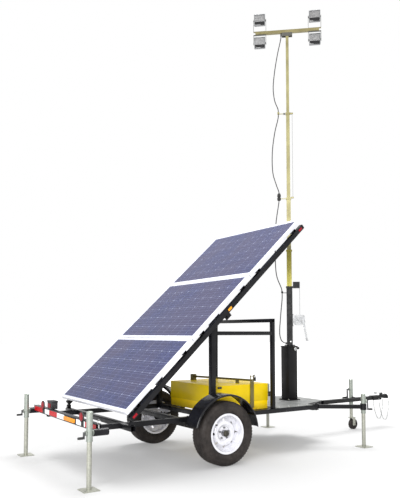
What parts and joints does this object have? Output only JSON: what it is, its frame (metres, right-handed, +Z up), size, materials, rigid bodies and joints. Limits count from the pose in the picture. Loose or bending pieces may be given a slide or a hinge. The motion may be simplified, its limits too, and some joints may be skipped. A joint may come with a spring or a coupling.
{
  "type": "solar light tower trailer",
  "caption": "Road trailer with a tilting solar array, a battery box and a telescoping mast that raises swivelling flood lamps, levelled on crank jacks.",
  "frame": {"origin": "on the ground, under the middle of the whole trailer's box", "axes": "+X forward to the coupler, +Y to the trailer's left side, +Z up"},
  "size_m": [5.196, 1.93, 5.6573],
  "materials": {
    "frame_black": "satin black powder coat",
    "tongue_black": "black powder coat, slightly worn",
    "deck_grey": "grey galvanised plate",
    "mast_black": "black powder coat",
    "axle_black": "black chassis paint",
    "fender_black": "gloss black paint",
    "box_yellow": "safety yellow powder coat",
    "battery_case": "moulded battery case",
    "controller_grey": "cast enclosure",
    "zinc_plate": "bright zinc plate",
    "dark_zinc": "dark zinc",
    "lamp_red": "moulded lens",
    "jack_zinc": "zinc plated tube",
    "leg_zinc": "zinc plated tube",
    "crank_dark": "dark zinc with black grip",
    "arm_black": "black powder coat",
    "caster_rubber": "solid rubber",
    "tyre_rubber": "ribbed trailer tyre",
    "rim_white": "white wheel enamel",
    "array_black": "black powder coat",
    "panel_aluminium": "clear anodised",
    "solar_glass": "polycrystalline cells under glass",
    "junction_black": "moulded",
    "winch_grey": "zinc plated winch",
    "mast_olive": "olive gold chromate on steel",
    "lamp_grey": "grey die casting",
    "cable_black": "rubber jacket"
  },
  "bodies": {
    "chassis": {"main_frame": "frame_black", "drawbar": "tongue_black", "deck_plate": "deck_grey", "array_stand": "frame_black", "mast_column": "mast_black", "axle_beam": "axle_black", "leaf_springs": "axle_black", "fenders": "fender_black", "battery_box": "box_yellow", "batteries": "battery_case", "charge_controller": "controller_grey", "lid_hasp": "zinc_plate", "coupler": "tongue_black", "safety_chains": "zinc_plate", "rear_lamps": "lamp_red", "jack_mounts": "axle_black"},
    "box_lid": {"battery_lid": "box_yellow", "lid_lock_bar": "dark_zinc"},
    "latch": {"coupler_latch": "zinc_plate"},
    "tongue_jack": {"tongue_jack_tube": "jack_zinc"},
    "tongue_leg": {"tongue_jack_leg": "leg_zinc"},
    "caster": {"caster_wheel": "caster_rubber"},
    "tongue_crank": {"tongue_jack_crank": "crank_dark"},
    "rear_left_jack": {"rear_left_jack": "jack_zinc"},
    "rear_left_leg": {"rear_left_leg": "leg_zinc"},
    "rear_left_crank": {"rear_left_crank": "crank_dark"},
    "rear_right_jack": {"rear_right_jack": "jack_zinc"},
    "rear_right_leg": {"rear_right_leg": "leg_zinc"},
    "rear_right_crank": {"rear_right_crank": "crank_dark"},
    "front_left_arm": {"front_left_arm": "arm_black", "front_left_jack": "jack_zinc"},
    "front_left_leg": {"front_left_leg": "leg_zinc"},
    "front_left_crank": {"front_left_crank": "crank_dark"},
    "front_right_arm": {"front_right_arm": "arm_black", "front_right_jack": "jack_zinc"},
    "front_right_leg": {"front_right_leg": "leg_zinc"},
    "front_right_crank": {"front_right_crank": "crank_dark"},
    "left_wheel": {"left_tyre": "tyre_rubber", "left_rim": "rim_white"},
    "right_wheel": {"right_tyre": "tyre_rubber", "right_rim": "rim_white"},
    "array": {"array_frame": "array_black", "panel_frames": "panel_aluminium", "panel_laminates": "solar_glass", "junction_boxes": "junction_black"},
    "mast_base": {"mast_tube_0": "mast_black", "winch": "winch_grey", "cable_low_run": "cable_black"},
    "winch_handle": {"winch_crank": "zinc_plate"},
    "mast_1": {"mast_tube_1": "mast_olive"},
    "mast_2": {"mast_tube_2": "mast_olive", "cable_mid_run": "cable_black"},
    "mast_3": {"mast_tube_3": "mast_olive"},
    "mast_4": {"mast_tube_4": "mast_olive", "crosshead": "mast_olive", "cable_head_run": "cable_black"},
    "upper_left_lamp_head": {"upper_left_lamp": "lamp_grey"},
    "upper_right_lamp_head": {"upper_right_lamp": "lamp_grey"},
    "lower_left_lamp_head": {"lower_left_lamp": "lamp_grey"},
    "lower_right_lamp_head": {"lower_right_lamp": "lamp_grey"}
  },
  "joints": [
    {"name": "array_tilt", "type": "hinge", "parent": "chassis", "child": "array", "pos_m": [-0.908, 0, 1.55], "axis": [0, 1, 0], "range_deg": [0, 32.8]},
    {"name": "lid_open", "type": "hinge", "parent": "chassis", "child": "box_lid", "pos_m": [-0.378, 0.412, 0.604], "axis": [-1, 0, 0], "range_deg": [0, 65]},
    {"name": "latch_lift", "type": "hinge", "parent": "chassis", "child": "latch", "pos_m": [2.462, 0, 0.484], "axis": [0, 1, 0], "range_deg": [0, 70]},
    {"name": "tongue_jack_swivel", "type": "hinge", "parent": "chassis", "child": "tongue_jack", "pos_m": [1.932, 0.095, 0.4295], "axis": [0, 1, 0], "range_deg": [0, 90]},
    {"name": "tongue_crank_turn", "type": "hinge", "parent": "tongue_jack", "child": "tongue_crank", "pos_m": [1.932, 0.095, 0.565], "axis": [1, 0, 0], "range_deg": [0, 10800]},
    {"name": "tongue_leg_slide", "type": "slide", "parent": "tongue_jack", "child": "tongue_leg", "axis": [0, 0, 1], "range_m": [0, 0.1501]},
    {"name": "caster_roll", "type": "hinge", "parent": "tongue_leg", "child": "caster", "pos_m": [1.962, 0.095, 0.072], "axis": [0, 1, 0], "continuous": true},
    {"name": "rear_left_swivel", "type": "hinge", "parent": "chassis", "child": "rear_left_jack", "pos_m": [-2.488, 0.89, 0.495], "axis": [-1, 0, 0], "range_deg": [0, 90]},
    {"name": "rear_left_crank_turn", "type": "hinge", "parent": "rear_left_jack", "child": "rear_left_crank", "pos_m": [-2.488, 0.89, 0.495], "axis": [1, 0, 0], "range_deg": [0, 6480]},
    {"name": "rear_left_leg_slide", "type": "slide", "parent": "rear_left_jack", "child": "rear_left_leg", "axis": [0, 0, 1], "range_m": [0, 0.0901]},
    {"name": "rear_right_swivel", "type": "hinge", "parent": "chassis", "child": "rear_right_jack", "pos_m": [-2.488, -0.89, 0.495], "axis": [1, 0, 0], "range_deg": [0, 90]},
    {"name": "rear_right_crank_turn", "type": "hinge", "parent": "rear_right_jack", "child": "rear_right_crank", "pos_m": [-2.488, -0.89, 0.495], "axis": [1, 0, 0], "range_deg": [0, 6480]},
    {"name": "rear_right_leg_slide", "type": "slide", "parent": "rear_right_jack", "child": "rear_right_leg", "axis": [0, 0, 1], "range_m": [0, 0.0901]},
    {"name": "front_left_arm_swing", "type": "hinge", "parent": "chassis", "child": "front_left_arm", "pos_m": [0.592, 0.56, 0.48], "axis": [0, 0, -1], "range_deg": [0, 35]},
    {"name": "front_left_crank_turn", "type": "hinge", "parent": "front_left_arm", "child": "front_left_crank", "pos_m": [1.052, 0.89, 0.545], "axis": [0.8125, 0.5829, 0], "range_deg": [0, 6480]},
    {"name": "front_left_leg_slide", "type": "slide", "parent": "front_left_arm", "child": "front_left_leg", "axis": [0, 0, 1], "range_m": [0, 0.0901]},
    {"name": "front_right_arm_swing", "type": "hinge", "parent": "chassis", "child": "front_right_arm", "pos_m": [0.592, -0.56, 0.48], "axis": [0, 0, 1], "range_deg": [0, 35]},
    {"name": "front_right_crank_turn", "type": "hinge", "parent": "front_right_arm", "child": "front_right_crank", "pos_m": [1.052, -0.89, 0.545], "axis": [0.8125, -0.5829, 0], "range_deg": [0, 6480]},
    {"name": "front_right_leg_slide", "type": "slide", "parent": "front_right_arm", "child": "front_right_leg", "axis": [0, 0, 1], "range_m": [0, 0.0901]},
    {"name": "left_wheel_spin", "type": "hinge", "parent": "chassis", "child": "left_wheel", "pos_m": [-0.938, 0.745, 0.332], "axis": [0, 1, 0], "continuous": true},
    {"name": "right_wheel_spin", "type": "hinge", "parent": "chassis", "child": "right_wheel", "pos_m": [-0.938, -0.745, 0.332], "axis": [0, 1, 0], "continuous": true},
    {"name": "mast_turn", "type": "hinge", "parent": "chassis", "child": "mast_base", "pos_m": [0.648, -0.04, 1.2], "axis": [0, 0, 1], "range_deg": [-180, 180]},
    {"name": "winch_turn", "type": "hinge", "parent": "mast_base", "child": "winch_handle", "pos_m": [0.77508, -0.15442, 1.537], "axis": [0.6691, 0.7431, 0], "range_deg": [-28800, 0]},
    {"name": "mast_1_slide", "type": "slide", "parent": "mast_base", "child": "mast_1", "axis": [0, 0, 1], "range_m": [-0.4201, 0], "deforming": ["cable_mid_run"]},
    {"name": "mast_2_slide", "type": "slide", "parent": "mast_1", "child": "mast_2", "axis": [0, 0, 1], "range_m": [-0.6301, 0]},
    {"name": "mast_3_slide", "type": "slide", "parent": "mast_2", "child": "mast_3", "axis": [0, 0, 1], "range_m": [-1.0501, 0]},
    {"name": "mast_4_slide", "type": "slide", "parent": "mast_3", "child": "mast_4", "axis": [0, 0, 1], "range_m": [-1.0081, 0], "deforming": ["cable_head_run"]},
    {"name": "upper_left_lamp_tilt", "type": "hinge", "parent": "mast_4", "child": "upper_left_lamp_head", "pos_m": [0.3775, 0.20356, 5.584], "axis": [0.7431, -0.6691, 0], "range_deg": [-60, 60]},
    {"name": "upper_right_lamp_tilt", "type": "hinge", "parent": "mast_4", "child": "upper_right_lamp_head", "pos_m": [0.91851, -0.28356, 5.584], "axis": [0.7431, -0.6691, 0], "range_deg": [-60, 60]},
    {"name": "lower_left_lamp_tilt", "type": "hinge", "parent": "mast_4", "child": "lower_left_lamp_head", "pos_m": [0.3775, 0.20356, 5.268], "axis": [0.7431, -0.6691, 0], "range_deg": [-60, 60]},
    {"name": "lower_right_lamp_tilt", "type": "hinge", "parent": "mast_4", "child": "lower_right_lamp_head", "pos_m": [0.91851, -0.28356, 5.268], "axis": [0.7431, -0.6691, 0], "range_deg": [-60, 60]}
  ],
  "couplings": [
    {"joint": "tongue_leg_slide", "follows": "tongue_crank_turn", "m_per_rad": 0.00079577},
    {"joint": "rear_left_leg_slide", "follows": "rear_left_crank_turn", "m_per_rad": 0.00079577},
    {"joint": "rear_right_leg_slide", "follows": "rear_right_crank_turn", "m_per_rad": 0.00079577},
    {"joint": "front_left_leg_slide", "follows": "front_left_crank_turn", "m_per_rad": 0.00079577},
    {"joint": "front_right_leg_slide", "follows": "front_right_crank_turn", "m_per_rad": 0.00079577},
    {"joint": "mast_1_slide", "follows": "winch_turn", "m_per_rad": 0.00083556},
    {"joint": "mast_2_slide", "follows": "winch_turn", "m_per_rad": 0.0012533},
    {"joint": "mast_3_slide", "follows": "winch_turn", "m_per_rad": 0.0020889},
    {"joint": "mast_4_slide", "follows": "winch_turn", "m_per_rad": 0.0020054}
  ]
}
